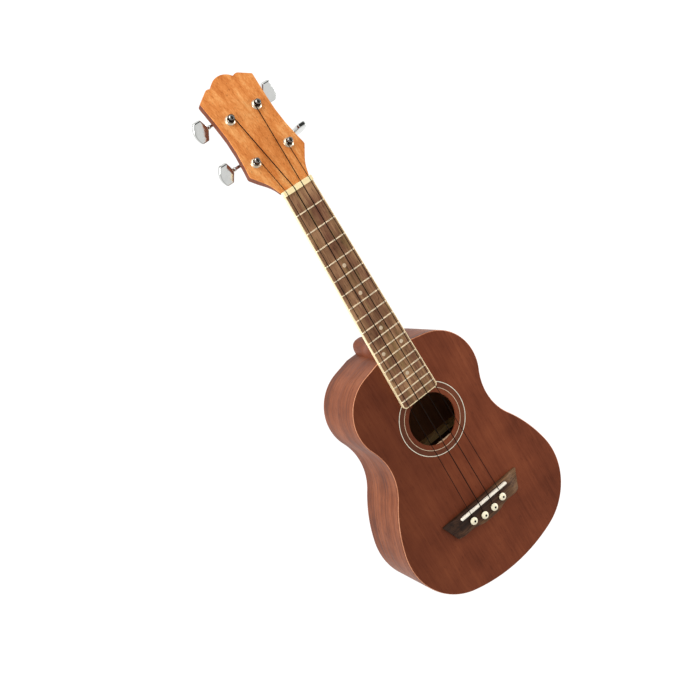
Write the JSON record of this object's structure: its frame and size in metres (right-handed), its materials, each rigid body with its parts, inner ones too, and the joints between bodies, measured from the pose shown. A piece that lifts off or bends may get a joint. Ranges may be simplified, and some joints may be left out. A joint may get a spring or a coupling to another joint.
{
  "type": "ukulele",
  "caption": "Concert ukulele with a figure-eight hollow wooden body, bound fretboard, pin bridge and open-gear tuning machines with half-moon buttons.",
  "frame": {"origin": "centre of the bounding box, on the plane of the flat back", "axes": "+Z out of the soundboard, +Y along the neck towards the head, +X to the right of someone who looks at the soundboard with the head up"},
  "size_m": [0.2102, 0.5952, 0.0835],
  "materials": {
    "soundboard_wood": "dark red-brown mahogany, satin",
    "back_wood": "dark red-brown mahogany, satin",
    "side_wood": "lighter mahogany with long grain, satin",
    "inner_wood": "pale bare wood",
    "neck_wood": "dark brown stained wood, satin",
    "veneer_wood": "orange-brown mahogany veneer, satin",
    "fretboard_wood": "streaky rosewood, unfinished",
    "bridge_wood": "dark streaky rosewood",
    "outer_ring": "off-white inlay",
    "inner_ring": "tan inlay",
    "binding": "cream binding",
    "fret_metal": "polished nickel silver",
    "pearl": "pearl dots",
    "bone": "cream nut and saddle",
    "pin_plastic": "cream pins",
    "string_nylon": "black nylon",
    "tuner_chrome": "bright chrome plate",
    "button_chrome": "chrome-plated plastic",
    "gear_brass": "brass gear"
  },
  "bodies": {
    "instrument": {"soundboard": "soundboard_wood", "back_plate": "back_wood", "side_left": "side_wood", "side_right": "side_wood", "neck_block": "inner_wood", "tail_block": "inner_wood", "top_lining": "inner_wood", "back_lining": "inner_wood", "top_braces": "inner_wood", "back_braces": "inner_wood", "bridge_plate": "inner_wood", "rosette_outer_ring": "outer_ring", "rosette_inner_ring": "inner_ring", "neck": "neck_wood", "neck_dowels": "inner_wood", "headstock_veneer": "veneer_wood", "fretboard": "fretboard_wood", "fretboard_binding": "binding", "fret_wires": "fret_metal", "fret_markers": "pearl", "nut": "bone", "bridge": "bridge_wood", "saddle": "bone", "tuner_bushings": "tuner_chrome", "tuner_plates": "tuner_chrome", "tuner_screws": "tuner_chrome", "string_g": "string_nylon", "string_c": "string_nylon", "string_e": "string_nylon", "string_a": "string_nylon"},
    "knob_g": {"button_g": "button_chrome", "worm_shaft_g": "tuner_chrome"},
    "capstan_g": {"post_g": "tuner_chrome", "gear_g": "gear_brass", "gear_screw_g": "tuner_chrome", "winding_g": "string_nylon"},
    "pin_g": {"bridge_pin_g": "pin_plastic"},
    "knob_c": {"button_c": "button_chrome", "worm_shaft_c": "tuner_chrome"},
    "capstan_c": {"post_c": "tuner_chrome", "gear_c": "gear_brass", "gear_screw_c": "tuner_chrome", "winding_c": "string_nylon"},
    "pin_c": {"bridge_pin_c": "pin_plastic"},
    "knob_e": {"button_e": "button_chrome", "worm_shaft_e": "tuner_chrome"},
    "capstan_e": {"post_e": "tuner_chrome", "gear_e": "gear_brass", "gear_screw_e": "tuner_chrome", "winding_e": "string_nylon"},
    "pin_e": {"bridge_pin_e": "pin_plastic"},
    "knob_a": {"button_a": "button_chrome", "worm_shaft_a": "tuner_chrome"},
    "capstan_a": {"post_a": "tuner_chrome", "gear_a": "gear_brass", "gear_screw_a": "tuner_chrome", "winding_a": "string_nylon"},
    "pin_a": {"bridge_pin_a": "pin_plastic"}
  },
  "joints": [
    {"name": "knob_g_turn", "type": "hinge", "parent": "instrument", "child": "knob_g", "pos_m": [-0.0199, 0.21571, 0.04612], "axis": [1, 0, 0], "continuous": true},
    {"name": "capstan_g_turn", "type": "hinge", "parent": "instrument", "child": "capstan_g", "pos_m": [-0.0199, 0.21141, 0.06486], "axis": [0, 0.247, 0.969], "continuous": true},
    {"name": "pin_g_lift", "type": "slide", "parent": "instrument", "child": "pin_g", "axis": [0, 0, 1], "range_m": [0, 0.022]},
    {"name": "knob_c_turn", "type": "hinge", "parent": "instrument", "child": "knob_c", "pos_m": [-0.0159, 0.26125, 0.03451], "axis": [1, 0, 0], "continuous": true},
    {"name": "capstan_c_turn", "type": "hinge", "parent": "instrument", "child": "capstan_c", "pos_m": [-0.0159, 0.25695, 0.05325], "axis": [0, 0.247, 0.969], "continuous": true},
    {"name": "pin_c_lift", "type": "slide", "parent": "instrument", "child": "pin_c", "axis": [0, 0, 1], "range_m": [0, 0.022]},
    {"name": "knob_e_turn", "type": "hinge", "parent": "instrument", "child": "knob_e", "pos_m": [0.0159, 0.26125, 0.03451], "axis": [1, 0, 0], "continuous": true},
    {"name": "capstan_e_turn", "type": "hinge", "parent": "instrument", "child": "capstan_e", "pos_m": [0.0159, 0.25695, 0.05325], "axis": [0, 0.247, 0.969], "continuous": true},
    {"name": "pin_e_lift", "type": "slide", "parent": "instrument", "child": "pin_e", "axis": [0, 0, 1], "range_m": [0, 0.022]},
    {"name": "knob_a_turn", "type": "hinge", "parent": "instrument", "child": "knob_a", "pos_m": [0.0199, 0.21571, 0.04612], "axis": [1, 0, 0], "continuous": true},
    {"name": "capstan_a_turn", "type": "hinge", "parent": "instrument", "child": "capstan_a", "pos_m": [0.0199, 0.21141, 0.06486], "axis": [0, 0.247, 0.969], "continuous": true},
    {"name": "pin_a_lift", "type": "slide", "parent": "instrument", "child": "pin_a", "axis": [0, 0, 1], "range_m": [0, 0.022]}
  ],
  "couplings": [
    {"joint": "capstan_g_turn", "follows": "knob_g_turn", "ratio": 0.071429},
    {"joint": "capstan_c_turn", "follows": "knob_c_turn", "ratio": 0.071429},
    {"joint": "capstan_e_turn", "follows": "knob_e_turn", "ratio": 0.071429},
    {"joint": "capstan_a_turn", "follows": "knob_a_turn", "ratio": 0.071429}
  ]
}
